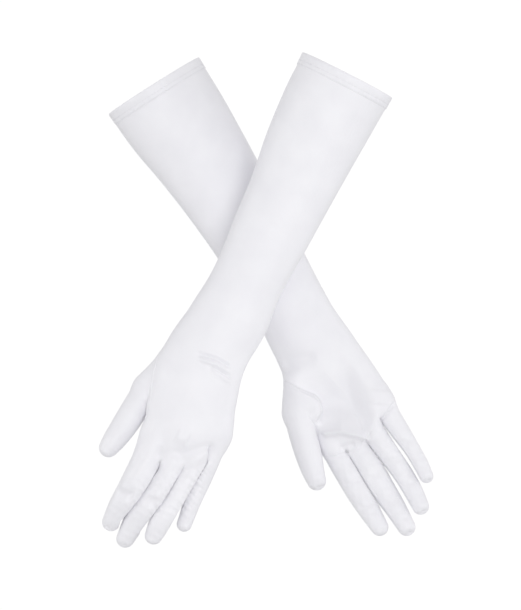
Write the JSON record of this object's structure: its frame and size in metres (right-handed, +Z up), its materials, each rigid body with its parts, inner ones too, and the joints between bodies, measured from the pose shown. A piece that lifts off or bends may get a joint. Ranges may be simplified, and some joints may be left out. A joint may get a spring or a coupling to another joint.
{
  "type": "opera gloves",
  "caption": "Pair of elbow-length fitted gloves with hemmed arm openings, crossed as worn, that bend at the wrists and at the base of every digit.",
  "frame": {"origin": "centre of the right glove's arm opening, where the arm goes in", "axes": "+Z up with the fingers hanging down; -Y is the front, where the left glove crosses over the right one; +X to the viewer's right"},
  "size_m": [0.2928, 0.147, 0.4298],
  "materials": {
    "satin": "soft stretch-satin sheen",
    "thread": "matt polyester thread"
  },
  "bodies": {
    "right_sleeve_body": {"right_sleeve": "satin", "right_hem": "satin", "right_hem_stitching": "thread", "right_side_seam": "thread"},
    "right_hand_body": {"right_palm": "satin", "right_back": "satin", "right_thumb_gusset": "satin", "right_thumb_seam": "thread"},
    "right_index_body": {"right_index": "satin", "right_index_fourchette_little_side": "satin"},
    "right_middle_finger_body": {"right_middle_finger": "satin", "right_middle_finger_fourchette_thumb_side": "satin", "right_middle_finger_fourchette_little_side": "satin"},
    "right_ring_body": {"right_ring": "satin", "right_ring_fourchette_thumb_side": "satin", "right_ring_fourchette_little_side": "satin"},
    "right_little_body": {"right_little": "satin", "right_little_fourchette_thumb_side": "satin"},
    "right_thumb_body": {"right_thumb": "satin"},
    "left_sleeve_body": {"left_sleeve": "satin", "left_hem": "satin", "left_hem_stitching": "thread", "left_side_seam": "thread"},
    "left_hand_body": {"left_palm": "satin", "left_back": "satin", "left_thumb_gusset": "satin", "left_thumb_seam": "thread"},
    "left_index_body": {"left_index": "satin", "left_index_fourchette_little_side": "satin"},
    "left_middle_finger_body": {"left_middle_finger": "satin", "left_middle_finger_fourchette_thumb_side": "satin", "left_middle_finger_fourchette_little_side": "satin"},
    "left_ring_body": {"left_ring": "satin", "left_ring_fourchette_thumb_side": "satin", "left_ring_fourchette_little_side": "satin"},
    "left_little_body": {"left_little": "satin", "left_little_fourchette_thumb_side": "satin"},
    "left_thumb_body": {"left_thumb": "satin"}
  },
  "joints": [
    {"name": "gloves_apart", "type": "slide", "parent": "right_sleeve_body", "child": "left_sleeve_body", "axis": [0, -1, 0], "range_m": [0, 0.15]},
    {"name": "right_wrist", "type": "hinge", "parent": "right_sleeve_body", "child": "right_hand_body", "pos_m": [0.14321, 0, -0.22653], "axis": [-0.8453, 0, -0.5344], "range_deg": [-40, 50]},
    {"name": "right_index_base", "type": "hinge", "parent": "right_hand_body", "child": "right_index_body", "pos_m": [0.15903, 0, -0.32139], "axis": [-0.8796, 0, -0.4756], "range_deg": [-10, 80]},
    {"name": "right_middle_finger_base", "type": "hinge", "parent": "right_hand_body", "child": "right_middle_finger_body", "pos_m": [0.17819, 0, -0.31634], "axis": [-0.8678, 0, -0.497], "range_deg": [-10, 80]},
    {"name": "right_ring_base", "type": "hinge", "parent": "right_hand_body", "child": "right_ring_body", "pos_m": [0.19272, 0, -0.30243], "axis": [-0.8643, 0, -0.503], "range_deg": [-10, 80]},
    {"name": "right_little_base", "type": "hinge", "parent": "right_hand_body", "child": "right_little_body", "pos_m": [0.20431, 0, -0.2844], "axis": [-0.8517, 0, -0.524], "range_deg": [-10, 80]},
    {"name": "right_thumb_base", "type": "hinge", "parent": "right_hand_body", "child": "right_thumb_body", "pos_m": [0.12779, -0.007, -0.30005], "axis": [-0.9707, 0, -0.2402], "range_deg": [-5, 55]},
    {"name": "left_wrist", "type": "hinge", "parent": "left_sleeve_body", "child": "left_hand_body", "pos_m": [0.04693, -0.058, -0.23099], "axis": [0.891, 0, -0.454], "range_deg": [-40, 50]},
    {"name": "left_index_base", "type": "hinge", "parent": "left_hand_body", "child": "left_index_body", "pos_m": [-0.00527, -0.058, -0.31797], "axis": [0.8829, 0, -0.4695], "range_deg": [-10, 80]},
    {"name": "left_middle_finger_base", "type": "hinge", "parent": "left_hand_body", "child": "left_middle_finger_body", "pos_m": [0.01283, -0.058, -0.32524], "axis": [0.8829, 0, -0.4695], "range_deg": [-10, 80]},
    {"name": "left_ring_base", "type": "hinge", "parent": "left_hand_body", "child": "left_ring_body", "pos_m": [0.03371, -0.058, -0.32499], "axis": [0.9063, 0, -0.4226], "range_deg": [-10, 80]},
    {"name": "left_little_base", "type": "hinge", "parent": "left_hand_body", "child": "left_little_body", "pos_m": [0.05528, -0.058, -0.31869], "axis": [0.9272, 0, -0.3746], "range_deg": [-10, 80]},
    {"name": "left_thumb_base", "type": "hinge", "parent": "left_hand_body", "child": "left_thumb_body", "pos_m": [-0.01513, -0.051, -0.27873], "axis": [0.848, 0, -0.5299], "range_deg": [-5, 55]}
  ]
}
